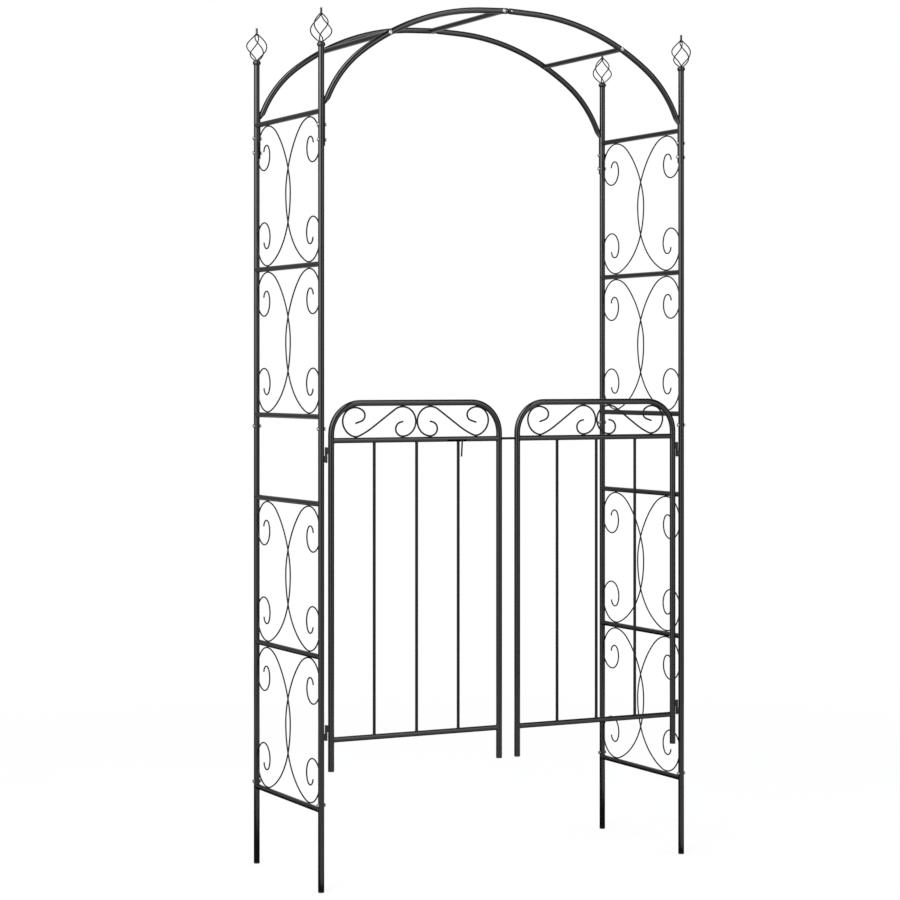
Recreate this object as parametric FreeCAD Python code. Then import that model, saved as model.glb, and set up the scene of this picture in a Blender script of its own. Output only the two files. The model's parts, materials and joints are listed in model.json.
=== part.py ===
import FreeCAD, Part
import math
import os

os.makedirs("parts", exist_ok=True)
V = FreeCAD.Vector

# Frame: X right, Y towards the back, Z up, origin on the ground at the centre of the four legs. All in mm

# Overall layout, centre to centre of the posts
span = 1091.0
depth = 421.0
half_x = span / 2
half_y = depth / 2

# Ladder side panels: three rungs on the lower posts and three on the upper posts
rung_r = 7.0
first_rung = 209.5
cell = 391.5
short_gap = 223.0
rungs_lower = [first_rung + i * cell for i in range(3)]
rungs_upper = [rungs_lower[2] + short_gap + i * cell for i in range(3)]
top_rung = rungs_upper[2]

# Post tubes: a ground leg, a lower length and an upper length, each necked to plug into the next
post_r = 8.0
wall = 1.2
bore_r = post_r - wall
plug_gap = 0.1
spigot_r = bore_r - plug_gap
neck = 12.0
tube_ease = 0.4
leg_top = first_rung - 24.5
leg_plug = 60.0
leg_bolt_z = leg_top + 38.0
lower_top = rungs_upper[0] - 50.5
lower_plug = 50.0
joint_bolt_z = lower_top + 20.0
upper_top = top_rung + 162.5
cap_plug = 12.0
foot_t = 3.0
cap_ease = 0.8

# Ladder scroll wire: its furthest reach from the post, then the bends of its two halves
wire_r = 1.9
bite = 0.2
scroll_reach = 229.3
shoulder_r = 69.0
upper_bend = {"back": 5.4, "outer_r": 102.5, "outer": 33.8, "second": 33.0}
lower_bend = {"back": 19.5, "outer_r": 199.0, "outer": 20.2, "second": 38.5}
upper_curl = [(48.7, 75.8), (37.5, 138.3), (18.3, 142.3)]
lower_curl = [(47.5, 75.8), (39.7, 138.3), (18.3, 142.3)]

# Arch saddles: the pressed end of each arch half, wrapped part way round its post
saddle_t = 2.4
saddle_half_angle = 66.0
saddle_low = top_rung - 90.0
saddle_high = top_rung + 37.5
saddle_bolt_z = [top_rung - 74.0, top_rung - 35.0]
tip_cut = 15.0
rung_notch = 0.5

# Arches: a straight lead from the apex, a crown arc, a tighter haunch arc, then a straight tail
lead_angle = 2.34
crown_angle = 37.3
tail_angle = 66.4
lead = 73.7
crown_r = 632.0
tail = 21.7
arch_foot_z = top_rung + 18.7


def rise_of(size, low, high):
    return size * (math.cos(math.radians(low)) - math.cos(math.radians(high)))


def run_of(size, low, high):
    return size * (math.sin(math.radians(high)) - math.sin(math.radians(low)))


arch_reach = half_x - post_r - saddle_t
arch_run = lead * math.cos(math.radians(lead_angle)) + tail * math.cos(math.radians(tail_angle))
arch_run += run_of(crown_r, lead_angle, crown_angle)
haunch_r = (arch_reach - arch_run) / run_of(1.0, crown_angle, tail_angle)
apex_z = arch_foot_z + lead * math.sin(math.radians(lead_angle)) + tail * math.sin(math.radians(tail_angle))
apex_z += rise_of(crown_r, lead_angle, crown_angle) + rise_of(haunch_r, crown_angle, tail_angle)

# Where two arch halves meet: rounded solid ends on a stud, a small screw holds the right one
end_gap = 0.4
stud_r = 3.0
stud_half = 9.6
nose_len = 11.0
nose_tip_r = 3.7
nose_start = end_gap + post_r - nose_tip_r
screw_x = 7.4
m3_r = 1.5
m3_head_r = 2.6
m3_head = 1.6

# Crossbars between the two arches, their ends solid and threaded
crossbar_x = [-351.0, -15.0, 351.0]
crossbar_plug = 34.0

# Fasteners: M5 through the posts, M6 through the arches
m5_r = 2.5
m5_flats = 8.0
m5_head = 3.5
m5_nut = 4.0
m5_end = 1.0
m6_r = 3.0
m6_head_r = 5.6
m6_head = 3.4
m6_grip = 24.0
m6_slot = 6.0
m6_slot_w = 1.2
m6_slot_deep = 0.7

# Finials: ball cap, twisted wire basket and spike, each mirrored from its neighbours
ball_r = 11.0
ball_half = 7.5
ball_z = upper_top + 7.0
ball_plug = 15.0
ball_seat = 1.0
basket_r = 28.8
basket_wire_r = 1.6
basket_neck_r = 1.8
basket_low = ball_z + 5.0
basket_high = basket_low + 74.5
basket_twist = 120.0
basket_lean = 0.9
basket_turn = 33.0
basket_points = 15
spike_r = 3.0
spike_root = 5.0
spike_top = basket_high + 14.8

# Gate leaves: each hangs midway in a gap beside its post and stops short of the other leaf
hinge_gap = 12.0
latch_gap = 55.0
hinge_offset = post_r + hinge_gap / 2
stile_offset = 2 * hinge_offset
stile_pitch = half_x - stile_offset - latch_gap / 2
gate_cross = 1154.6
gate_rail = 388.0
gate_top = gate_cross + 96.1
gate_low = gate_rail - 81.4
corner_r = 82.0
bar_r = 4.0
bars = 3
gate_wire_r = 2.3
cap_t = 2.0
scroll_low = gate_cross + rung_r + gate_wire_r - bite
scroll_high = gate_top - post_r - gate_wire_r + bite

# Gate scroll arcs from its lower touch point, radius then degrees
tail_arcs = [(25.3, 23.6), (218.7, 12.0)]
end_arcs = [(20.5, 53.5), (18.0, 112.9)]
end_tail = 7.5
back_arcs = [(12.0, 11.2), (42.9, 63.6), (35.1, 145.0), (16.0, 121.9)]
back_tail = 16.7

# Hinges
hinge_z = [gate_rail + 18.8, gate_cross - 36.8]
knuckle_clear = 2.5
knuckle_r = hinge_gap / 2 - knuckle_clear
knuckle_h = 19.0
pin_r = 2.0
pin_fit = 0.07
pin_head = 1.0
knuckle_gap = 0.3
web_t = 4.0
web_short = 1.8

# Sliding latch rod inside the left leaf's crossbar
latch_r = 3.25
latch_fit = 0.1
latch_short = 0.5
latch_back = 40.0
latch_in = 12.0
latch_len = 260.0
latch_tip = latch_gap / 2 - post_r - latch_short
handle_r = 2.2
handle_slot = 0.45
handle_x = -latch_gap / 2 - stile_pitch / (bars + 1) + 7.5
handle_lean = 2.0
handle_y = 8.5
handle_slope = 30.0
handle_low = gate_cross - 46.1
collar_fit = 0.2
collar_len = 12.0
keeper_gap = 0.75

# How far drills and trimming blocks run past what they cut
past = 20.0


def rod(p, q, r):
    d = q.sub(p)
    return Part.makeCylinder(r, d.Length, p, d)


def tube(p, q, r):
    return rod(p, q, r).cut(rod(p, q, r - wall))


def drill_x(x, y, z, r):
    return rod(V(x - past, y, z), V(x + past, y, z), r)


def drill_y(x, y, z, r):
    return rod(V(x, y - past, z), V(x, y + past, z), r)


def hexagon(p, axis, flats, height):
    radius = flats / math.sqrt(3)
    points = []
    for i in range(7):
        a = math.radians(60 * i)
        points.append(V(0, radius * math.cos(a), radius * math.sin(a)))
    prism = Part.Face(Part.makePolygon(points)).extrude(V(axis * height, 0, 0))
    prism.translate(p)
    return prism


def turned(points, x, y):
    loop = [V(r, 0, z) for r, z in points]
    loop.append(loop[0])
    solid = Part.Face(Part.makePolygon(loop)).revolve(V(0, 0, 0), V(0, 0, 1), 360)
    solid.translate(V(x, y, 0))
    return solid


def walk(start, heading, moves, place):
    # Follow arcs (radius, degrees, left is positive) and straight runs (0, length) in a plane
    a, b = start
    h = math.radians(heading)
    edges = []
    for size, turn in moves:
        if size == 0:
            a2, b2 = a + turn * math.cos(h), b + turn * math.sin(h)
            edges.append(Part.makeLine(place(a, b), place(a2, b2)))
        else:
            t = math.radians(turn)
            s = math.copysign(size, t)
            ca, cb = a - s * math.sin(h), b + s * math.cos(h)
            mid = place(ca + s * math.sin(h + t / 2), cb - s * math.cos(h + t / 2))
            a2, b2 = ca + s * math.sin(h + t), cb - s * math.cos(h + t)
            edges.append(Part.Arc(place(a, b), mid, place(a2, b2)).toShape())
            h += t
        a, b = a2, b2
    return edges, (a, b), math.degrees(h)


def sweep(edges, r):
    path = Part.Wire(Part.sortEdges(edges)[0])
    first = path.OrderedEdges[0]
    start = path.OrderedVertexes[0].Point
    at = first.FirstParameter
    if first.valueAt(at).sub(start).Length > 0.001:
        at = first.LastParameter
    ring = Part.Wire(Part.makeCircle(r, start, first.tangentAt(at)))
    return path.makePipeShell([ring], True, False)


def save(name, shapes):
    solids = []
    for shape in shapes:
        solids += shape.removeSplitter().Solids
    whole = solids[0] if len(solids) == 1 else Part.makeCompound(solids)
    whole.exportStep("parts/" + name + ".step")


def join(shapes):
    whole = shapes[0]
    for shape in shapes[1:]:
        whole = whole.fuse(shape)
    return whole


sides = [("left", -1), ("right", 1)]
ends = [("front", -1), ("rear", 1)]
posts = [(e + "_" + s, sx * half_x, sy * half_y, sx, sy) for e, sy in ends for s, sx in sides]


def post_rod(x, y, r=post_r):
    return rod(V(x, y, 0), V(x, y, upper_top), r)


# Posts in three lengths, with the bolt holes drilled through
def necked(x, y, low, top, plug):
    inner = spigot_r - wall
    eased = post_r - tube_ease
    return turned([
        (bore_r, low), (eased, low), (post_r, low + tube_ease), (post_r, top - tube_ease), (eased, top),
        (spigot_r, top), (spigot_r, top + plug), (inner, top + plug), (inner, top), (bore_r, top - neck),
    ], x, y)


def open_tube(x, y, low, top):
    eased = post_r - tube_ease
    return turned([
        (bore_r, low), (eased, low), (post_r, low + tube_ease), (post_r, top), (bore_r, top),
    ], x, y)


for name, x, y, sx, sy in posts:
    leg = necked(x, y, foot_t, leg_top, leg_plug)
    lower = necked(x, y, leg_top, lower_top, lower_plug)
    upper = open_tube(x, y, lower_top, upper_top)
    leg_hole = drill_x(x, y, leg_bolt_z, m5_r)
    joint_hole = drill_x(x, y, joint_bolt_z, m5_r)
    for z in saddle_bolt_z:
        upper = upper.cut(drill_x(x, y, z, m5_r))
    save("leg_" + name, [leg.cut(leg_hole)])
    save("post_lower_" + name, [lower.cut(leg_hole).cut(joint_hole)])
    save("post_upper_" + name, [upper.cut(joint_hole)])


# Plastic caps pushed into the tube ends
def end_cap(x, y, low, thick):
    seat = low + thick
    return turned([
        (0, low), (post_r - cap_ease, low), (post_r, low + cap_ease), (post_r, seat), (bore_r, seat),
        (bore_r, seat + cap_plug), (0, seat + cap_plug),
    ], x, y)


save("foot_caps", [end_cap(x, y, 0, foot_t) for name, x, y, sx, sy in posts])


# Rungs, each end shaped to the round of its post
def rung(x, z):
    bar = tube(V(x, -half_y, z), V(x, half_y, z), rung_r)
    return bar.cut(post_rod(x, -half_y)).cut(post_rod(x, half_y))


def rung_rod(x, z):
    return rod(V(x, -half_y, z), V(x, half_y, z), rung_r)


def scroll_half(top, bend, curl):
    # The bend's angles are given, the radii of its second arc and of the belly fill what is left
    one = bend["back"] + bend["outer"]
    two = one + bend["second"]
    rise = top
    run = scroll_reach - (post_r + wire_r - bite) - shoulder_r
    for r, low, high in ((shoulder_r, 0, bend["back"]), (bend["outer_r"], bend["back"], one)):
        rise -= rise_of(r, low, high)
        run -= run_of(r, low, high)
    second_rise = rise_of(1.0, one, two)
    second_run = run_of(1.0, one, two)
    belly_rise = rise_of(1.0, two, 90)
    belly_run = run_of(1.0, two, 90)
    share = second_rise * belly_run - second_run * belly_rise
    second_r = (rise * belly_run - run * belly_rise) / share
    belly_r = (run * second_rise - rise * second_run) / share
    moves = [(belly_r, 90 - two), (second_r, bend["second"]), (bend["outer_r"], bend["outer"])]
    return moves + [(shoulder_r, bend["back"] + 90)] + curl


# One ladder cell: two mirrored scrolls that cross, welded to the rungs and posts
def scroll_cell(x, low, high):
    mid = (low + high) / 2
    top = (high - low) / 2 - rung_r - wire_r + bite
    wires = []
    for way in (-1, 1):
        def up(a, b):
            return V(x + way * (wire_r - bite / 2), way * (a - half_y), mid + b)

        def down(a, b):
            return V(x + way * (wire_r - bite / 2), way * (a - half_y), mid - b)

        upper_half = walk((scroll_reach, 0), 90, scroll_half(top, upper_bend, upper_curl), up)[0]
        lower_half = walk((scroll_reach, 0), 90, scroll_half(top, lower_bend, lower_curl), down)[0]
        wires.append(sweep(upper_half + lower_half, wire_r))
    panel = wires[0].fuse(wires[1])
    for z in (low, high):
        panel = panel.cut(rung_rod(x, z))
    for y in (-half_y, half_y):
        panel = panel.cut(post_rod(x, y))
    return panel


for side, sx in sides:
    x = sx * half_x
    for level, heights in (("lower", rungs_lower), ("upper", rungs_upper)):
        save("rungs_" + level + "_" + side, [rung(x, z) for z in heights])
        save("scrolls_" + level + "_" + side, [scroll_cell(x, heights[i], heights[i + 1]) for i in range(2)])


# Arches in two halves, the lower end pressed flat round the post as a saddle
def arch_path(sx, y, begin, reach):
    # Begins a given way from the apex along the straight lead
    def place(a, b):
        return V(sx * a, y, b)

    a0 = math.radians(lead_angle)
    moves = [(0, lead - begin)]
    moves += [(crown_r, lead_angle - crown_angle)]
    moves += [(haunch_r, crown_angle - tail_angle)]
    moves += [(0, tail + reach)]
    return walk((begin * math.cos(a0), apex_z - begin * math.sin(a0)), -lead_angle, moves, place)[0]


def arch_rod(sx, y):
    return sweep(arch_path(sx, y, nose_start, past), post_r)


def arch_nose(sx, y):
    # The rounded end of an arch half, turned about its straight lead
    bend = math.sqrt(0.5) * (post_r - nose_tip_r)
    foot = V(nose_start, 0, 0)
    rim = V(nose_start, 0, post_r)
    mid = V(nose_start - bend, 0, nose_tip_r + bend)
    tip = V(end_gap, 0, nose_tip_r)
    centre = V(end_gap, 0, 0)
    outline = [Part.makeLine(foot, rim), Part.Arc(rim, mid, tip).toShape()]
    outline += [Part.makeLine(tip, centre), Part.makeLine(centre, foot)]
    nose = Part.Face(Part.Wire(outline)).revolve(V(0, 0, 0), V(1, 0, 0), 360)
    if sx < 0:
        nose.rotate(V(0, 0, 0), V(0, 0, 1), 180)
    nose.rotate(V(0, 0, 0), V(0, 1, 0), sx * lead_angle)
    nose.translate(V(0, y, apex_z))
    return nose


def arch_half(sx, y):
    x = sx * half_x
    solid = arch_rod(sx, y).fuse(arch_nose(sx, y))
    solid = solid.cut(sweep(arch_path(sx, y, nose_len, 1.0 - tail), bore_r))
    # The stud's hole, tight in the right half, where the screw comes in from the outer face
    ease = 0 if sx > 0 else plug_gap
    solid = solid.cut(rod(V(0, y, apex_z), V(sx * stud_half, y, apex_z), stud_r + ease))
    if sx > 0:
        solid = solid.cut(joiner_hole(y))
    # The pressed tip is cut off on a slant below the tube, and nothing of the tube passes the post
    face = x - sx * post_r
    foot = arch_foot_z - saddle_t
    out = face + sx * 2 * past
    inn = face - sx * 4 * past
    low = foot - 4 * past
    corners = [
        (face - sx * tip_cut, foot + tip_cut), (face, foot), (face, apex_z), (out, apex_z),
        (out, low), (inn, low), (inn, foot + tip_cut),
    ]
    points = [V(a, y - past, b) for a, b in corners]
    solid = solid.cut(Part.Face(Part.makePolygon(points + points[:1])).extrude(V(0, 2 * past, 0)))
    # The saddle itself, part of a ring round the post
    ring = Part.makeCylinder(
        post_r + saddle_t, saddle_high - saddle_low, V(0, 0, 0), V(0, 0, 1), 2 * saddle_half_angle
    )
    ring.rotate(V(0, 0, 0), V(0, 0, 1), (180 if sx > 0 else 0) - saddle_half_angle)
    ring.translate(V(x, y, saddle_low))
    # It is notched round the top rung's end
    notch = rod(V(x, 0, top_rung), V(x, y, top_rung), rung_r + rung_notch)
    solid = solid.fuse(ring).cut(post_rod(x, y)).cut(notch)
    for z in saddle_bolt_z:
        solid = solid.cut(drill_x(x, y, z, m5_r))
    for bolt_x in crossbar_x:
        if bolt_x * sx > 0:
            solid = solid.cut(drill_y(bolt_x, y, arch_z(bolt_x), m6_r))
    return solid


def arch_z(x):
    # Height of the arch centre line above a point inside the crown arc or its straight lead
    a0 = math.radians(lead_angle)
    edge = lead * math.cos(a0)
    if abs(x) <= edge:
        return apex_z - abs(x) * math.tan(a0)
    cx = edge - crown_r * math.sin(a0)
    cz = apex_z - lead * math.sin(a0) - crown_r * math.cos(a0)
    return cz + math.sqrt(crown_r ** 2 - (abs(x) - cx) ** 2)


def joiner_hole(y):
    # The screw's way from the middle of the stud out to the middle of its head
    z = arch_z(screw_x)
    out = y + math.copysign(post_r + m3_head / 2, y)
    return rod(V(screw_x, y, z), V(screw_x, out, z), m3_r)


def round_head(x, z, face, top, r):
    # A domed screw head from its seat to its top, pointing forwards or backwards
    dome_r = 1.5 * r
    centre = top - math.copysign(dome_r, top)
    return rod(V(x, face, z), V(x, top, z), r).common(Part.makeSphere(dome_r, V(x, centre, z)))


# Studs and screws that hold the two halves of each arch together
joiner_screws = []
for end, sy in ends:
    y = sy * half_y
    for side, sx in sides:
        save("arch_" + end + "_" + side, [arch_half(sx, y)])
    stud = rod(V(-stud_half, y, apex_z), V(stud_half, y, apex_z), stud_r)
    save("arch_joiner_" + end, [stud.cut(joiner_hole(y))])
    seat = y + sy * math.sqrt(post_r ** 2 - m3_head_r ** 2)
    head = round_head(screw_x, arch_z(screw_x), seat, y + sy * (post_r + m3_head), m3_head_r)
    joiner_screws.append(head.cut(arch_rod(1, y)).fuse(joiner_hole(y)))
save("joiner_screws", joiner_screws)


# Crossbars with solid threaded ends, shaped to the arch tubes
for name, x in zip(("left", "middle", "right"), crossbar_x):
    z = arch_z(x)
    bar = rod(V(x, -half_y, z), V(x, half_y, z), rung_r)
    inside = half_y - post_r - crossbar_plug
    bar = bar.cut(rod(V(x, -inside, z), V(x, inside, z), rung_r - wall))
    for sy in (-1, 1):
        bar = bar.cut(arch_rod(math.copysign(1, x), sy * half_y))
        bar = bar.cut(rod(V(x, sy * half_y, z), V(x, sy * (half_y - m6_grip), z), m6_r))
    save("crossbar_" + name, [bar])


# Round headed bolts through the arches into the crossbars
bolts = []
for x in crossbar_x:
    for sy in (-1, 1):
        z = arch_z(x)
        face = sy * (half_y + post_r - m6_slot_deep)
        top = sy * (half_y + post_r + m6_head)
        head = round_head(x, z, face, top, m6_head_r).cut(arch_rod(math.copysign(1, x), sy * half_y))
        shank = rod(V(x, top - sy, z), V(x, sy * (half_y - m6_grip), z), m6_r)
        bolt = head.fuse(shank)
        for wide, tall in ((m6_slot, m6_slot_w), (m6_slot_w, m6_slot)):
            corner = V(x - wide / 2, top - m6_slot_deep, z - tall / 2)
            bolt = bolt.cut(Part.makeBox(wide, 2 * m6_slot_deep, tall, corner))
        bolts.append(bolt)
save("crossbar_bolts", bolts)


# Hexagon bolts and nuts through the saddles and the post joints, heads outside, nuts inside
def hex_bolt(x, y, z, sx, extra):
    out = x + sx * post_r
    inn = x - sx * (post_r + extra + m5_nut + m5_end)
    head = hexagon(V(out, y, z), sx, m5_flats, m5_head)
    return head.fuse(rod(V(out, y, z), V(inn, y, z), m5_r))


def hex_nut(x, y, z, sx, extra):
    inn = x - sx * (post_r + extra)
    return hexagon(V(inn, y, z), -sx, m5_flats, m5_nut).cut(drill_x(x, y, z, m5_r))


saddle_bolts = []
post_bolts = []
nuts = []
for name, x, y, sx, sy in posts:
    for z in saddle_bolt_z:
        saddle_bolts.append(hex_bolt(x, y, z, sx, saddle_t))
        nuts.append(hex_nut(x, y, z, sx, saddle_t))
    for z in (leg_bolt_z, joint_bolt_z):
        post_bolts.append(hex_bolt(x, y, z, sx, 0))
        nuts.append(hex_nut(x, y, z, sx, 0))
save("saddle_bolts", saddle_bolts)
save("post_bolts", post_bolts)
save("nuts", nuts)


# Finials: ball cap with a plug, four twisted wires and a spike
def finial(x, y, sx, sy):
    flat = ball_r - ball_half
    corners = [V(0, 0, -ball_half), V(flat, 0, -ball_half), V(flat, 0, ball_half), V(0, 0, ball_half)]
    outline = [Part.Arc(corners[1], V(ball_r, 0, 0), corners[2]).toShape()]
    for i in (0, 2, 3):
        outline.append(Part.makeLine(corners[i], corners[(i + 1) % 4]))
    outline = Part.sortEdges(outline)[0]
    ball = Part.Face(Part.Wire(outline)).revolve(V(0, 0, 0), V(0, 0, 1), 360)
    ball.translate(V(x, y, ball_z))
    below = rod(V(x, y, upper_top - ball_r), V(x, y, upper_top), 2 * ball_r)
    pieces = [ball.cut(below), rod(V(x, y, upper_top - ball_plug), V(x, y, ball_z), bore_r)]
    pieces.append(rod(V(x, y, upper_top), V(x, y, upper_top + ball_seat), post_r))
    pieces.append(rod(V(x, y, basket_high - spike_root), V(x, y, spike_top), spike_r))
    for k in range(4):
        points = []
        for i in range(basket_points):
            t = i / (basket_points - 1)
            swell = math.sin(math.pi * t ** basket_lean)
            r = basket_neck_r + (basket_r - basket_neck_r) * swell
            a = math.radians(basket_turn + 90 * k + basket_twist * t)
            z = basket_low + (basket_high - basket_low) * t
            points.append(V(x + sx * r * math.cos(a), y + sy * r * math.sin(a), z))
        curve = Part.BSplineCurve()
        curve.interpolate(points)
        pieces.append(sweep([curve.toShape()], basket_wire_r))
    return join(pieces)


for name, x, y, sx, sy in posts:
    save("finial_" + name, [finial(x, y, sx, sy)])


# Gate leaves: bent frame, crossbar, bottom rail, bars, scrolls, caps and hinges
def leaf_frame(sx):
    near = sx * (half_x - stile_offset)
    far = near - sx * stile_pitch

    def place(a, b):
        return V(near - sx * a, -half_y, b)

    straight = gate_top - corner_r - gate_low - cap_t
    moves = [(0, straight), (corner_r, -90), (0, stile_pitch - 2 * corner_r), (corner_r, -90), (0, straight)]
    path = walk((0, gate_low + cap_t), 90, moves, place)[0]
    return near, far, path


def leaf_scroll(sx, centre, frame_rod, cross_rod):
    height = scroll_high - scroll_low
    loop_r = height / 2
    rise = 0.0
    run = 0.0
    deg = 0.0
    for r, step in tail_arcs:
        rise += rise_of(r, deg, deg + step)
        run += run_of(r, deg, deg + step)
        deg += step
    rise += rise_of(loop_r, 0, deg)
    run += run_of(loop_r, 0, deg)
    straight = (height - rise) / math.sin(math.radians(deg))
    run += straight * math.cos(math.radians(deg))
    touch = gate_wire_r - bite / 2 + loop_r + run
    wires = []
    for way in (-1, 1):
        def place(a, b):
            return V(centre + way * a, -half_y, b)

        forward = tail_arcs + [(0, straight)]
        forward += [(loop_r, -deg - 180)]
        forward += [(r, -step) for r, step in end_arcs] + [(0, end_tail)]
        back = [(r, -step) for r, step in back_arcs] + [(0, back_tail)]
        one = walk((-touch, scroll_low), 0, forward, place)[0]
        two = walk((-touch, scroll_low), 180, back, place)[0]
        wires.append(sweep(one + two, gate_wire_r))
    return wires[0].fuse(wires[1]).cut(cross_rod).cut(frame_rod)


def knuckle(x, y, low, toward, web_low, r_bore):
    # A barrel with a flat web, a little shorter, that runs to the tube it is welded to
    barrel = rod(V(x, y, low), V(x, y, low + knuckle_h), knuckle_r)
    web = Part.makeBox(hinge_offset, web_t, knuckle_h - web_short, V(0, -web_t / 2, 0))
    if toward < 0:
        web.rotate(V(0, 0, 0), V(0, 0, 1), 180)
    web.translate(V(x, y, web_low))
    return barrel.fuse(web).cut(rod(V(x, y, low), V(x, y, low + knuckle_h), r_bore))


for side, sx in sides:
    near, far, path = leaf_frame(sx)
    y = -half_y
    frame_rod = sweep(path, post_r)
    frame = frame_rod.cut(sweep(path, bore_r))
    cross_rod = rod(V(near, y, gate_cross), V(far, y, gate_cross), rung_r)
    rail_rod = rod(V(near, y, gate_rail), V(far, y, gate_rail), rung_r)
    cross = tube(V(near, y, gate_cross), V(far, y, gate_cross), rung_r).cut(frame_rod)
    rail = tube(V(near, y, gate_rail), V(far, y, gate_rail), rung_r).cut(frame_rod)
    if side == "left":
        # Guide holes through the latch stile and a slot for the handle below the crossbar's front
        frame = frame.cut(drill_x(far, y, gate_cross, latch_r + latch_fit))
        slot_r = handle_r + handle_slot
        slot_low = handle_x - latch_back - slot_r
        slot_long = latch_back + latch_in + 2 * slot_r
        slot = Part.makeBox(slot_long, past, 2 * slot_r, V(slot_low, -past, -slot_r))
        slot.rotate(V(0, 0, 0), V(1, 0, 0), handle_slope)
        slot.translate(V(0, y, gate_cross))
        cross = cross.cut(slot)
    else:
        # Keeper hole in the near wall of the latch stile
        frame = frame.cut(rod(V(far - past, y, gate_cross), V(far, y, gate_cross), latch_r + keeper_gap))
    save("gate_frame_" + side, [frame])
    save("gate_crossbar_" + side, [cross])
    save("gate_rail_" + side, [rail])
    pieces = []
    for i in range(bars):
        x = near - sx * stile_pitch * (i + 1) / (bars + 1)
        pieces.append(rod(V(x, y, gate_rail), V(x, y, gate_cross), bar_r).cut(cross_rod).cut(rail_rod))
    save("gate_bars_" + side, pieces)
    save("gate_scrolls_" + side, [leaf_scroll(sx, (near + far) / 2, frame_rod, cross_rod)])
    save("gate_caps_" + side, [end_cap(x, y, gate_low, cap_t) for x in (near, far)])
    # Hinges: the leaf's knuckle rides on the post's knuckle, a headed pin runs through both
    axis = sx * (half_x - hinge_offset)
    upper_parts = []
    lower_parts = []
    pins = []
    for z in hinge_z:
        top = knuckle(axis, y, z + knuckle_gap, -sx, z + knuckle_gap + web_short, pin_r + pin_fit)
        low = knuckle(axis, y, z - knuckle_h, sx, z - knuckle_h, pin_r)
        upper_parts.append(top.cut(frame_rod))
        lower_parts.append(low.cut(post_rod(sx * half_x, y)))
        pin_top = z + knuckle_gap + knuckle_h + knuckle_gap
        pin_low = z - knuckle_h
        pin = rod(V(axis, y, pin_low), V(axis, y, pin_top), pin_r)
        pin = pin.fuse(rod(V(axis, y, pin_top), V(axis, y, pin_top + pin_head), knuckle_r))
        pins.append(pin.fuse(rod(V(axis, y, pin_low - pin_head), V(axis, y, pin_low), knuckle_r)))
    save("gate_knuckles_" + side, upper_parts)
    save("post_knuckles_" + side, lower_parts)
    save("hinge_pins_" + side, pins)


# Latch rod with its tail collar and hanging handle
def latch_rod(y, z):
    tail_end = V(latch_tip - latch_len, y, z)
    knee = V(handle_x, y - handle_y, z - handle_y * math.tan(math.radians(handle_slope)))
    pieces = [
        rod(tail_end, V(latch_tip, y, z), latch_r),
        rod(tail_end, V(tail_end.x + collar_len, y, z), rung_r - wall - collar_fit),
        rod(V(handle_x, y, z), knee, handle_r),
        Part.makeSphere(handle_r, knee),
        rod(knee, V(handle_x - handle_lean, y - handle_y, handle_low), handle_r),
    ]
    return join(pieces)


save("latch_rod", [latch_rod(-half_y, gate_cross)])
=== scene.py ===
import json
import math

import bmesh
import bpy
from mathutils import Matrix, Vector


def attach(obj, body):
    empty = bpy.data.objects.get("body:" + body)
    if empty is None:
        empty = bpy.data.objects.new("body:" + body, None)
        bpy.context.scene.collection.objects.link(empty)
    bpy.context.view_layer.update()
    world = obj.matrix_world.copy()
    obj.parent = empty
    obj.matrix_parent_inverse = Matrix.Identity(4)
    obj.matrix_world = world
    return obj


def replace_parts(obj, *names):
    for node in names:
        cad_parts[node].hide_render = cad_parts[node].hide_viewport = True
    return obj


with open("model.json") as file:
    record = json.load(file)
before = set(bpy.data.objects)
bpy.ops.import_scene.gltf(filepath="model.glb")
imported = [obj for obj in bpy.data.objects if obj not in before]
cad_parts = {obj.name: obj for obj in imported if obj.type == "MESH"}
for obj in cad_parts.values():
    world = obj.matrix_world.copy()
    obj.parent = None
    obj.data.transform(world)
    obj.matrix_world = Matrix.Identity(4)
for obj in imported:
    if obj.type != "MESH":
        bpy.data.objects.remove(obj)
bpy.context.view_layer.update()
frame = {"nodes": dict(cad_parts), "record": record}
nodes = frame["nodes"]

# Sizes of the part's source, in mm, in the same frame
MM = 0.001
half_x, half_y = 545.5, 210.5
post_r, rung_r, bar_r = 8.0, 7.0, 4.0
first_rung, cell, short_gap = 209.5, 391.5, 223.0
lower = [first_rung + i * cell for i in range(3)]
upper = [lower[2] + short_gap + i * cell for i in range(3)]
upper_top = upper[2] + 162.5
leg_bolt_z = first_rung + 13.5
joint_bolt_z = upper[0] - 30.5
saddle_bolt_z = [upper[2] - 74.0, upper[2] - 35.0]
saddle_t = 2.4
bolt_past_nut = 1.0
nut_t = 4.0
cap_plug, foot_t, gate_cap_t = 12.0, 3.0, 2.0
wire_r, bite, shoulder_r = 1.9, 0.2, 69.0
gate_wire_r = 2.3
sides = [("left", -1), ("right", 1)]
posts = [
    (end + "_" + side, sx * half_x, sy * half_y, sx)
    for end, sy in (("front", -1), ("rear", 1)) for side, sx in sides
]
hinge_offset = 14.0
latch_gap = 55.0
near_x = half_x - 2 * hinge_offset
stile_pitch = near_x - latch_gap / 2
bars = 3
gate_cross, gate_rail, gate_low = 1154.6, 388.0, 306.6
gate_top = gate_cross + 96.1
hinge_z = [gate_rail + 18.8, gate_cross - 36.8]
knuckle_r, knuckle_h, knuckle_gap, web_t, web_short = 3.5, 19.0, 0.3, 4.0, 1.8
pin_r, pin_head = 2.0, 1.0
screw_x, screw_z = 7.4, 2290.22
basket_low, basket_high, spike_long = 2173.0, 2247.5, 14.8
basket_r, basket_neck_r, basket_wire_r, basket_lean = 28.8, 1.8, 1.6, 0.9
basket_turn, basket_twist = 33.0, 120.0
ball_z, ball_r, ball_half, finial_plug = 7.0, 11.0, 7.5, 15.0


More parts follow.
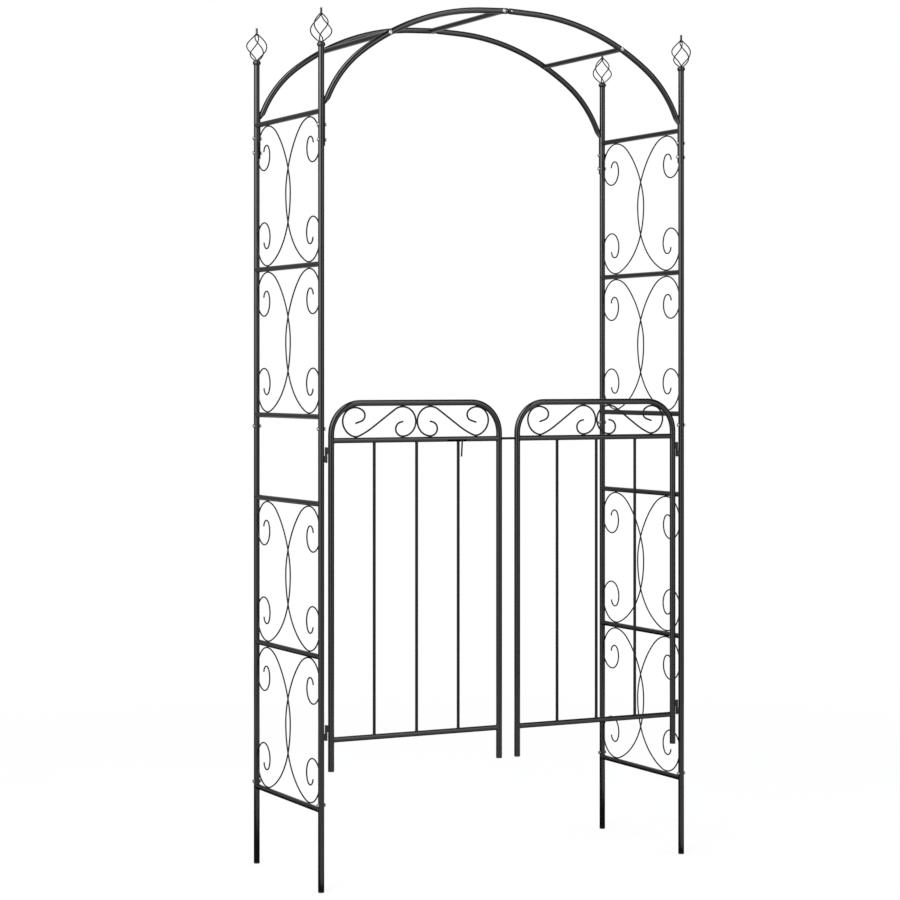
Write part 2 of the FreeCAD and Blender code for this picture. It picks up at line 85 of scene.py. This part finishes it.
# Materials
def material(name):
    mat = bpy.data.materials.new(name)
    mat.use_nodes = True
    mat.node_tree.nodes.clear()
    return mat, mat.node_tree


def add(nt, kind, **values):
    node = nt.nodes.new("ShaderNode" + kind)
    for key, value in values.items():
        setattr(node, key, value)
    return node


def noise(nt, where, scale, detail=3.0):
    tex = add(nt, "TexNoise")
    tex.inputs["Scale"].default_value = scale
    tex.inputs["Detail"].default_value = detail
    nt.links.new(where, tex.inputs["Vector"])
    return tex.outputs["Fac"]


def ramp(nt, value, low, high, start=0.3, end=0.7):
    node = add(nt, "ValToRGB")
    for stop, at, colour in zip(node.color_ramp.elements, (start, end), (low, high)):
        stop.position = at
        stop.color = (*colour, 1)
    nt.links.new(value, node.inputs[0])
    return node.outputs[0]


def span(nt, value, low, high):
    node = add(nt, "MapRange")
    node.inputs["To Min"].default_value = low
    node.inputs["To Max"].default_value = high
    nt.links.new(value, node.inputs[0])
    return node.outputs[0]


def bump(nt, heights):
    # Chain (height, strength, depth in metres) into one normal
    normal = None
    for height, strength, depth in heights:
        node = add(nt, "Bump")
        node.inputs["Strength"].default_value = strength
        node.inputs["Distance"].default_value = depth
        nt.links.new(height, node.inputs["Height"])
        if normal:
            nt.links.new(normal, node.inputs["Normal"])
        normal = node.outputs[0]
    return normal


def paint(name, dark, light, rough, level):
    # Powder coat: orange peel, faint clouding and a fine grain
    mat, nt = material(name)
    shader = add(nt, "BsdfPrincipled")
    where = add(nt, "TexCoord").outputs["Object"]
    cloud = noise(nt, where, 9.0, 5.0)
    grain = noise(nt, where, 1900.0)
    peel = noise(nt, where, 420.0, 2.0)
    nt.links.new(ramp(nt, cloud, dark, light), shader.inputs["Base Color"])
    nt.links.new(span(nt, cloud, rough - 0.04, rough + 0.04), shader.inputs["Roughness"])
    shader.inputs["Specular IOR Level"].default_value = level
    nt.links.new(bump(nt, [(peel, 0.18, 0.0001), (grain, 0.12, 0.00003)]), shader.inputs["Normal"])
    out = add(nt, "OutputMaterial")
    nt.links.new(shader.outputs[0], out.inputs[0])
    return mat


def zinc():
    # Plated steel: small crystal patches, fine scratches and a duller bloom
    mat, nt = material("zinc_plating")
    shader = add(nt, "BsdfPrincipled")
    where = add(nt, "TexCoord").outputs["Object"]
    patches = add(nt, "TexVoronoi")
    patches.inputs["Scale"].default_value = 900.0
    nt.links.new(where, patches.inputs["Vector"])
    bloom = noise(nt, where, 160.0, 4.0)
    scratch = noise(nt, where, 2600.0)
    nt.links.new(ramp(nt, bloom, (0.36, 0.37, 0.38), (0.50, 0.51, 0.52)), shader.inputs["Base Color"])
    nt.links.new(span(nt, patches.outputs["Distance"], 0.34, 0.46), shader.inputs["Roughness"])
    shader.inputs["Metallic"].default_value = 1.0
    nt.links.new(bump(nt, [(scratch, 0.25, 0.00003)]), shader.inputs["Normal"])
    out = add(nt, "OutputMaterial")
    nt.links.new(shader.outputs[0], out.inputs[0])
    return mat


def plastic():
    # Moulded plastic with a fine spark-eroded grain
    mat, nt = material("moulded_plastic")
    shader = add(nt, "BsdfPrincipled")
    where = add(nt, "TexCoord").outputs["Object"]
    grain = noise(nt, where, 1400.0, 4.0)
    scuff = noise(nt, where, 60.0, 5.0)
    nt.links.new(ramp(nt, scuff, (0.012, 0.012, 0.013), (0.026, 0.025, 0.025)), shader.inputs["Base Color"])
    nt.links.new(span(nt, scuff, 0.42, 0.58), shader.inputs["Roughness"])
    nt.links.new(bump(nt, [(grain, 0.4, 0.00006)]), shader.inputs["Normal"])
    out = add(nt, "OutputMaterial")
    nt.links.new(shader.outputs[0], out.inputs[0])
    return mat


coat = paint("black_powder_coat", (0.004, 0.004, 0.0043), (0.0065, 0.0065, 0.0068), 0.16, 0.42)
wire_coat = paint("black_wire_coat", (0.003, 0.003, 0.0032), (0.005, 0.005, 0.0052), 0.34, 0.2)
plating = zinc()
moulding = plastic()
by_slot = {"black_paint": coat, "zinc_steel": plating, "black_plastic": moulding}
for part in frame["record"]["subparts"]:
    name = part["node"]
    mesh = nodes[name].data
    mesh.materials.clear()
    thin = "scrolls" in name or "bars" in name or name == "latch_rod"
    mesh.materials.append(wire_coat if thin else by_slot[part["material_slot"]])


# Pieces in mesh code, drawn in mm
class Shape:
    def __init__(self):
        self.verts = []
        self.faces = []
        self.thin = []

    def skin(self, rings, closed=False):
        first = len(self.verts)
        size = len(rings[0])
        for ring in rings:
            self.verts += ring
        count = len(rings)
        for i in range(count if closed else count - 1):
            a = first + i * size
            b = first + (i + 1) % count * size
            for k in range(size):
                j = (k + 1) % size
                self.faces.append((a + k, a + j, b + j, b + k))
        if not closed:
            last = first + (count - 1) * size
            self.faces.append([first + k for k in reversed(range(size))])
            self.faces.append([last + k for k in range(size)])

    def sweep(self, path, radii, closed=False, around=8):
        # A round section along a path, one radius for each point
        rings = []
        count = len(path)
        side = None
        for i, point in enumerate(path):
            before = path[i - 1] if i or closed else point
            after = path[(i + 1) % count] if i < count - 1 or closed else point
            way = (after - before).normalized()
            side = side - way * side.dot(way) if side else way.orthogonal()
            side.normalize()
            other = way.cross(side)
            ring = []
            for k in range(around):
                a = 2 * math.pi * k / around
                ring.append(point + (side * math.cos(a) + other * math.sin(a)) * radii[i])
            rings.append(ring)
        self.skin(rings, closed)

    def turn(self, base, axis, profile, flats=0.0, closed=False, around=48):
        # Turn (radius, height) pairs round an axis; flats trims what is wider to a hexagon
        axis = Vector(axis)
        side = Vector((0, 1, 0)) if abs(axis.x) > 0.5 else Vector((1, 0, 0))
        other = axis.cross(side)
        rings = []
        for radius, height in profile:
            ring = []
            for k in range(around):
                a = 2 * math.pi * k / around
                r = radius
                if flats:
                    turned = (a + math.pi / 6) % (math.pi / 3) - math.pi / 6
                    r = min(r, flats / 2 / math.cos(turned))
                ring.append(Vector(base) + axis * height + (side * math.cos(a) + other * math.sin(a)) * r)
            rings.append(ring)
        self.skin(rings, closed)

    def weld(self, path, r, closed=True):
        # A bead with the ripples that a welder leaves, closely along the path
        ripple = 1.5
        points = []
        count = len(path)
        for i in range(count if closed else count - 1):
            a, b = path[i], path[(i + 1) % count]
            steps = max(1, round((b - a).length / 0.4))
            points += [a.lerp(b, k / steps) for k in range(steps)]
        if not closed:
            points.append(path[-1])
        run = 0.0
        radii = []
        for i, point in enumerate(points):
            run += (point - points[i - 1]).length if i else 0.0
            swell = 1 + 0.14 * abs(math.sin(math.pi * run / ripple))
            radii.append(r * swell)
        if not closed:
            for i in range(min(3, len(radii) // 2)):
                radii[i] *= (0.35, 0.7, 0.9)[i]
                radii[-1 - i] *= (0.35, 0.7, 0.9)[i]
        self.sweep(points, radii, closed)

    def collar(self, centre, along, big_axis, big_r, small_r, r):
        # Weld bead where a smaller tube meets the side of a bigger one
        along = Vector(along)
        big_axis = Vector(big_axis)
        side = along.cross(big_axis)
        path = []
        for k in range(36):
            a = 2 * math.pi * k / 36
            across = small_r * math.cos(a)
            out = math.sqrt(big_r ** 2 - across ** 2)
            path.append(Vector(centre) + along * out + side * across + big_axis * small_r * math.sin(a))
        self.weld(path, r)

    def blob(self, at, along, length, r):
        # A short weld between two wires that touch
        along = Vector(along)
        steps = 8
        path = []
        radii = []
        for i in range(steps + 1):
            t = 2 * i / steps - 1
            path.append(Vector(at) + along * length / 2 * t)
            radii.append(max(r * math.sqrt(1 - t * t), 0.05))
        self.sweep(path, radii, around=10)

    def piece(self, name, body, mat, angle=38, thin_mat=None):
        mesh = bpy.data.meshes.new(name)
        mesh.from_pydata([v * MM for v in self.verts], [], self.faces)
        work = bmesh.new()
        work.from_mesh(mesh)
        bmesh.ops.recalc_face_normals(work, faces=work.faces)
        work.to_mesh(mesh)
        work.free()
        mesh.polygons.foreach_set("use_smooth", [True] * len(mesh.polygons))
        mesh.set_sharp_from_angle(angle=math.radians(angle))
        mesh.materials.append(mat)
        if thin_mat:
            mesh.materials.append(thin_mat)
            for first, last in self.thin:
                for k in range(first, last):
                    mesh.polygons[k].material_index = 1
        obj = bpy.data.objects.new(name, mesh)
        bpy.context.scene.collection.objects.link(obj)
        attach(obj, body)
        return obj


# Hexagon bolts and nuts: washer face, chamfered corners, threads
def hex_head(shape, x, y, z, sx):
    shape.turn((x, y, z), (sx, 0, 0), [
        (3.7, 0), (3.7, 0.35), (4.4, 0.4), (4.7, 0.55), (4.7, 2.85), (4.45, 3.1), (4.2, 3.25), (3.95, 3.4),
        (3.7, 3.5), (3.0, 3.5), (2.75, 3.3), (0.05, 3.3),
    ], flats=8.0)


def shank(shape, x, y, z, sx, length):
    profile = [(2.5, 0)]
    pitch = 0.8
    start = length - 5.6
    for i in range(7):
        at = start + pitch * i
        profile += [(2.5, at), (2.5, at + 0.1), (2.12, at + 0.4), (2.5, at + 0.7)]
    profile = [(r, h) for r, h in profile if h < length - 0.4]
    profile += [(1.95, length), (0.05, length)]
    shape.turn((x, y, z), (-sx, 0, 0), profile, around=24)


def nut(shape, x, y, z, sx):
    shape.turn((x, y, z), (-sx, 0, 0), [
        (2.45, 0.3), (2.8, 0), (3.8, 0), (4.15, 0.2), (4.7, 0.5), (4.7, 3.5), (4.15, 3.8), (3.8, 4.0),
        (2.8, 4.0), (2.45, 3.7),
    ], flats=8.0, closed=True)


saddle_bolts = Shape()
post_bolts = Shape()
nuts = Shape()
for name, x, y, sx in posts:
    for heights, bolts, extra in (
        (saddle_bolt_z, saddle_bolts, saddle_t), ((leg_bolt_z, joint_bolt_z), post_bolts, 0.0)
    ):
        for z in heights:
            hex_head(bolts, x + sx * post_r, y, z, sx)
            shank(bolts, x + sx * post_r, y, z, sx, 2 * post_r + extra + nut_t + bolt_past_nut)
            nut(nuts, x - sx * (post_r + extra), y, z, sx)
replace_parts(saddle_bolts.piece("saddle_bolts_plated", "frame", plating), "saddle_bolts")
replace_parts(post_bolts.piece("post_bolts_plated", "frame", plating), "post_bolts")
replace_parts(nuts.piece("nuts_plated", "frame", plating), "nuts")


# Moulded caps in the tube ends: rounded rim, a gate mark below, ribs on the plug
def end_cap(shape, x, y, low, thick):
    profile = [
        (0.05, 0.35), (2.2, 0.35), (2.6, 0.0), (6.6, 0.0), (7.3, 0.2), (7.8, 0.65), (8.0, 1.2),
        (8.0, thick - 0.2), (7.85, thick), (6.7, thick),
    ]
    for i in range(4):
        at = thick + 1.5 + 2.5 * i
        profile += [(6.5, at), (6.8, at + 0.4), (6.8, at + 0.9), (6.5, at + 1.3)]
    profile += [(6.5, thick + cap_plug - 0.6), (6.0, thick + cap_plug), (0.05, thick + cap_plug)]
    shape.turn((x, y, low), (0, 0, 1), profile)


feet = Shape()
for name, x, y, sx in posts:
    end_cap(feet, x, y, 0.0, foot_t)
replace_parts(feet.piece("foot_caps_moulded", "frame", moulding), "foot_caps")
for side, sx in sides:
    caps = Shape()
    for x in (near_x, near_x - stile_pitch):
        end_cap(caps, sx * x, -half_y, gate_low, gate_cap_t)
    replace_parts(caps.piece("gate_caps_moulded_" + side, side + "_gate", moulding), "gate_caps_" + side)


# Finials: bun-shaped cap, four twisted wires mirrored from finial to finial, round-topped spike
wires, wire_steps = 4, 48
for name, x, y, sx in posts:
    finial = Shape()
    profile = [(0.05, -finial_plug), (6.2, -finial_plug), (6.75, 0.6 - finial_plug), (6.75, 0.0)]
    profile += [(post_r, 0.0), (post_r, 0.5), (7.7, 0.9), (7.0, 1.3)]
    for i in range(13):
        a = math.radians(-50 + 136 * i / 12)
        profile.append((ball_r - ball_half + ball_half * math.cos(a), ball_z + ball_half * math.sin(a)))
    profile += [(2.4, 14.5), (2.0, 15.4), (0.05, 15.6)]
    finial.turn((x, y, upper_top), (0, 0, 1), profile)
    first = len(finial.faces)
    for k in range(wires):
        path = []
        for i in range(wire_steps + 1):
            t = i / wire_steps
            r = basket_neck_r + (basket_r - basket_neck_r) * math.sin(math.pi * t ** basket_lean)
            a = math.radians(basket_turn + 360 / wires * k + basket_twist * t)
            z = basket_low + (basket_high - basket_low) * t
            path.append(Vector((x + sx * r * math.cos(a), y + math.copysign(r, y) * math.sin(a), z)))
        finial.sweep(path, [basket_wire_r] * len(path), around=12)
    finial.thin.append((first, len(finial.faces)))
    finial.turn((x, y, basket_high), (0, 0, 1), [
        (0.05, -5.5), (2.2, -5.4), (3.1, -4.2), (3.35, -3.0), (3.1, -1.4), (3.0, 0.0),
        (3.0, spike_long - 1.1), (2.7, spike_long - 0.4), (2.1, spike_long), (0.05, spike_long),
    ], around=24)
    dressed = finial.piece("finial_dressed_" + name, "frame", coat, thin_mat=wire_coat)
    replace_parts(dressed, "finial_" + name)


# Hinge pins with domed heads
for side, sx in sides:
    pins = Shape()
    length = 2 * knuckle_h + 2 * knuckle_gap
    for z in hinge_z:
        pins.turn((sx * (half_x - hinge_offset), -half_y, z - knuckle_h), (0, 0, 1), [
            (0.05, -pin_head), (1.6, -pin_head), (2.6, -0.8), (3.2, -0.45), (knuckle_r, -0.1), (knuckle_r, 0),
            (pin_r, 0), (pin_r, length), (knuckle_r, length), (knuckle_r, length + 0.1), (3.2, length + 0.45),
            (2.6, length + 0.8), (1.6, length + pin_head), (0.05, length + pin_head),
        ], around=32)
    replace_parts(pins.piece("hinge_pins_domed_" + side, "frame", coat), "hinge_pins_" + side)


# Domed screws that hold the studs at the top of the arches
screws = Shape()
for sy in (-1, 1):
    screws.turn((screw_x, sy * half_y, screw_z), (0, sy, 0), [
        (0.05, 0), (1.5, 0), (1.5, 7.6), (2.6, 7.6), (2.6, 8.3), (2.4, 8.9), (1.9, 9.35), (1.3, 9.6), (1.0, 9.6),
        (0.85, 8.9), (0.05, 8.9),
    ], around=32)
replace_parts(screws.piece("joiner_screws_domed", "frame", plating), "joiner_screws")


# Weld beads on the fixed frame: collars of the rungs, touch points of the scrolls, hinge webs
web_line = web_t / 2 + 0.1
web_deep = math.sqrt(post_r ** 2 - (web_t / 2) ** 2)
welds = Shape()
for name, x, y, sx in posts:
    inward = (0, 1 if y < 0 else -1, 0)
    for z in lower + upper:
        welds.collar((x, y, z), inward, (0, 0, 1), post_r, rung_r, 0.5 if z == upper[2] else 1.0)
    toward = inward[1]
    for heights in (lower, upper):
        for low, high in zip(heights, heights[1:]):
            mid = (low + high) / 2
            top = (high - low) / 2 - rung_r - wire_r + bite
            for tip in (-1, 1):
                at_x = x + toward * (wire_r - bite / 2)
                reach = post_r + wire_r - bite + shoulder_r
                welds.blob((at_x, y + toward * reach, mid + tip * (top + wire_r * 0.7)), (0, 1, 0), 9.0, 1.7)
                post_touch = y + toward * (post_r + 0.3)
                welds.blob((at_x, post_touch, mid + tip * (top - shoulder_r)), (0, 0, 1), 9.0, 1.7)
for side, sx in sides:
    for z in hinge_z:
        face = sx * (half_x - web_deep)
        for dy in (-web_line, web_line):
            line = [Vector((face, -half_y + dy, h)) for h in (z - knuckle_h + 1, z - web_short - 1)]
            welds.weld(line, 0.8, closed=False)
welds.piece("frame_welds", "frame", coat, angle=60)


# Weld beads on the gate leaves
scroll_low = gate_cross + rung_r + gate_wire_r - bite
scroll_high = gate_top - post_r - gate_wire_r + bite
loop_r = (scroll_high - scroll_low) / 2
for side, sx in sides:
    welds = Shape()
    near = sx * near_x
    far = near - sx * stile_pitch
    centre = (near + far) / 2
    for z in (gate_cross, gate_rail):
        welds.collar((near, -half_y, z), (-sx, 0, 0), (0, 0, 1), post_r, rung_r, 1.0)
        welds.collar((far, -half_y, z), (sx, 0, 0), (0, 0, 1), post_r, rung_r, 1.0)
    for i in range(bars):
        x = near - sx * stile_pitch * (i + 1) / (bars + 1)
        welds.collar((x, -half_y, gate_rail), (0, 0, 1), (1, 0, 0), rung_r, bar_r, 0.8)
        welds.collar((x, -half_y, gate_cross), (0, 0, -1), (1, 0, 0), rung_r, bar_r, 0.8)
    mid = (scroll_low + scroll_high) / 2
    welds.blob((centre, -half_y, mid), (0, 0, 1), 11.0, 2.1)
    for way in (-1, 1):
        loop_x = centre + way * (gate_wire_r - bite / 2 + loop_r)
        welds.blob((loop_x, -half_y, scroll_high + 1.4), (1, 0, 0), 11.0, 2.1)
    for z in hinge_z:
        face = near + sx * web_deep
        for dy in (-web_line, web_line):
            line = [Vector((face, -half_y + dy, h)) for h in (z + web_short + 1, z + knuckle_h - 1)]
            welds.weld(line, 0.8, closed=False)
    welds.piece("gate_welds_" + side, side + "_gate", coat, angle=60)


# Camera
lens = bpy.data.cameras.new("camera")
camera = bpy.data.objects.new("camera", lens)
bpy.context.scene.collection.objects.link(camera)
camera.location = (-3.1140, -5.8612, 1.3211)
yaw = math.radians(-27.485)
camera.rotation_euler = (math.radians(90), 0, yaw)
lens.lens = 97.02
lens.sensor_width = 36
lens.shift_y = -0.0826
lens.clip_end = 200
bpy.context.scene.camera = camera


# Studio
def staged(name, verts, faces, mat):
    mesh = bpy.data.meshes.new(name)
    mesh.from_pydata(verts, [], faces)
    mesh.materials.append(mat)
    obj = bpy.data.objects.new(name, mesh)
    bpy.context.scene.collection.objects.link(obj)
    return obj


def seen_as_white(nt, plain, out):
    # Camera, glossy and transmission rays meet white, the rest of the light stays plain
    white = add(nt, "Emission")
    white.inputs["Strength"].default_value = 1.0
    path = add(nt, "LightPath")
    most = None
    for ray in ("Is Camera Ray", "Is Glossy Ray", "Is Transmission Ray"):
        if most is None:
            most = path.outputs[ray]
            continue
        node = add(nt, "Math", operation="MAXIMUM")
        nt.links.new(most, node.inputs[0])
        nt.links.new(path.outputs[ray], node.inputs[1])
        most = node.outputs[0]
    mix = add(nt, "MixShader")
    nt.links.new(plain, mix.inputs[1])
    nt.links.new(white.outputs[0], mix.inputs[2])
    nt.links.new(mix.outputs[0], out.inputs[0])
    return most, mix.inputs[0]


world = bpy.data.worlds.new("studio")
bpy.context.scene.world = world
world.use_nodes = True
wt = world.node_tree
wt.nodes.clear()
room = add(wt, "Background")
room.inputs["Color"].default_value = (0.93, 0.96, 1.0, 1)
room.inputs["Strength"].default_value = 0.55
most, fac = seen_as_white(wt, room.outputs[0], add(wt, "OutputWorld"))
wt.links.new(most, fac)

floor_mat, ft = material("pale_floor")
plain = add(ft, "BsdfDiffuse")
where = add(ft, "TexCoord").outputs["Object"]
mottle = noise(ft, where, 3.0, 4.0)
ft.links.new(ramp(ft, mottle, (0.88, 0.88, 0.885), (0.91, 0.91, 0.91)), plain.inputs["Color"])
most, fac = seen_as_white(ft, plain.outputs[0], add(ft, "OutputMaterial"))
# Near the object the floor still takes a little of its shadow
far_off = add(ft, "VectorMath", operation="LENGTH")
ft.links.new(where, far_off.inputs[0])
share = add(ft, "MapRange", interpolation_type="SMOOTHSTEP")
share.inputs["From Min"].default_value = 1.0
share.inputs["From Max"].default_value = 4.0
share.inputs["To Min"].default_value = 0.82
share.inputs["To Max"].default_value = 1.0
ft.links.new(far_off.outputs["Value"], share.inputs["Value"])
both = add(ft, "Math", operation="MULTIPLY")
ft.links.new(most, both.inputs[0])
ft.links.new(share.outputs[0], both.inputs[1])
ft.links.new(both.outputs[0], fac)
half = 40
corners = [(-half, -half, 0), (half, -half, 0), (half, half, 0), (-half, half, 0)]
staged("floor", corners, [(0, 1, 2, 3)], floor_mat)


# Painted reflection: one curved wall that only glossy rays see, with bright bands and dark gaps painted into its
# emission in place of soft boxes and black flags; it lights nothing
def step(value, low, high):
    t = min(max((value - low) / (high - low), 0.0), 1.0)
    return t * t * (3 - 2 * t)


def curve(value, points):
    for (a, fa), (b, fb) in zip(points, points[1:]):
        if value <= b:
            return fa + (fb - fa) * max(value - a, 0.0) / (b - a)
    return points[-1][1]


def painted_reflection(angle, height):
    # Strength of the painted reflection at this angle and height. Angle in degrees from the camera's side,
    # positive to its left
    left = curve(height, [(0.0, 1.3), (0.8, 1.9), (1.6, 3.7), (2.2, 5.0), (2.6, 6.7)])
    gap = curve(height, [(0.0, 0.7), (0.8, 0.35), (1.6, 0.05), (2.2, 0.0)])
    right = curve(height, [(0.0, 1.1), (0.8, 1.8), (1.8, 2.5), (2.6, 3.2)])
    if angle > 0:
        reflection_bands = [(4, gap), (14, left), (72, left), (80, 0.0), (112, 0.0), (118, 0.35), (140, 0.35), (158, 0.7)]
    else:
        reflection_bands = [(0, gap), (30, gap), (37, right), (63, right), (71, 0.0), (140, 0.0), (158, 0.7)]
    return curve(abs(angle), reflection_bands)


# Emission of the painted reflection, painted per vertex on the wall; only reflections show it
reflection_wall_mat, nt = material("painted_reflection_wall")
paint_value = add(nt, "Attribute", attribute_name="painted_reflection")
light = add(nt, "Emission")
nt.links.new(paint_value.outputs["Fac"], light.inputs["Strength"])
out = add(nt, "OutputMaterial")
nt.links.new(light.outputs[0], out.inputs[0])
radius, ceiling, open_r = 3.3, 4.6, 1.1
columns = [i * 2.0 for i in range(-90, 91)]
outline = [(radius, 0.01 + 0.1 * i) for i in range(round(10 * ceiling))]
outline += [(radius - 0.1 * i, ceiling) for i in range(round(10 * radius))]
verts = []
values = []
for reach, height in outline:
    for angle in columns:
        a = math.radians(-90 - angle) + yaw
        verts.append((reach * math.cos(a), reach * math.sin(a), height))
        values.append(painted_reflection(angle, height) * step(reach, open_r - 0.2, open_r + 0.2))
faces = []
wide = len(columns)
for i in range(len(outline) - 1):
    for j in range(wide - 1):
        k = i * wide + j
        faces.append((k, k + 1, k + wide + 1, k + wide))
reflection_wall_obj = staged("painted_reflection_wall", verts, faces, reflection_wall_mat)
painted_reflection_data = reflection_wall_obj.data.attributes.new("painted_reflection", "FLOAT", "POINT")
painted_reflection_data.data.foreach_set("value", values)

# Painted dark reflection: a black sheet on the floor that only glossy rays see, so the tubes reflect black there
# instead of the white floor
dark_reflection_mat, nt = material("painted_dark_reflection")
black = add(nt, "BsdfDiffuse")
black.inputs["Color"].default_value = (0.0, 0.0, 0.0, 1)
out = add(nt, "OutputMaterial")
nt.links.new(black.outputs[0], out.inputs[0])
dark_sheet_corners = [(-1.6, -0.3, 0.002), (1.6, -0.3, 0.002), (1.6, 2.5, 0.002), (-1.6, 2.5, 0.002)]
dark_reflection_sheet = staged("painted_dark_floor_reflection", dark_sheet_corners, [(0, 1, 2, 3)], dark_reflection_mat)
# Neither painted reflection is seen by camera, diffuse, shadow, transmission or volume rays
for obj in (reflection_wall_obj, dark_reflection_sheet):
    obj.visible_camera = False
    obj.visible_diffuse = False
    obj.visible_shadow = False
    obj.visible_transmission = False
    obj.visible_volume_scatter = False


def lamp(name, place, target, power, size):
    data = bpy.data.lights.new(name, "AREA")
    data.energy = power
    data.shape = "RECTANGLE"
    data.size, data.size_y = size
    obj = bpy.data.objects.new(name, data)
    bpy.context.scene.collection.objects.link(obj)
    obj.location = place
    obj.rotation_euler = (Vector(target) - Vector(place)).to_track_quat("-Z", "Y").to_euler()
    obj.visible_camera = False
    obj.visible_glossy = False
    return obj


lamp("key", (-4.2, -3.2, 3.6), (0, 0, 1.2), 160, (2.4, 2.4))
lamp("fill", (2.6, -4.4, 2.6), (0, 0, 1.0), 70, (2.4, 2.4))
lamp("top", (0, 0.6, 5.0), (0, 0, 0), 120, (3.0, 3.0))
bpy.context.scene.view_settings.view_transform = "Standard"
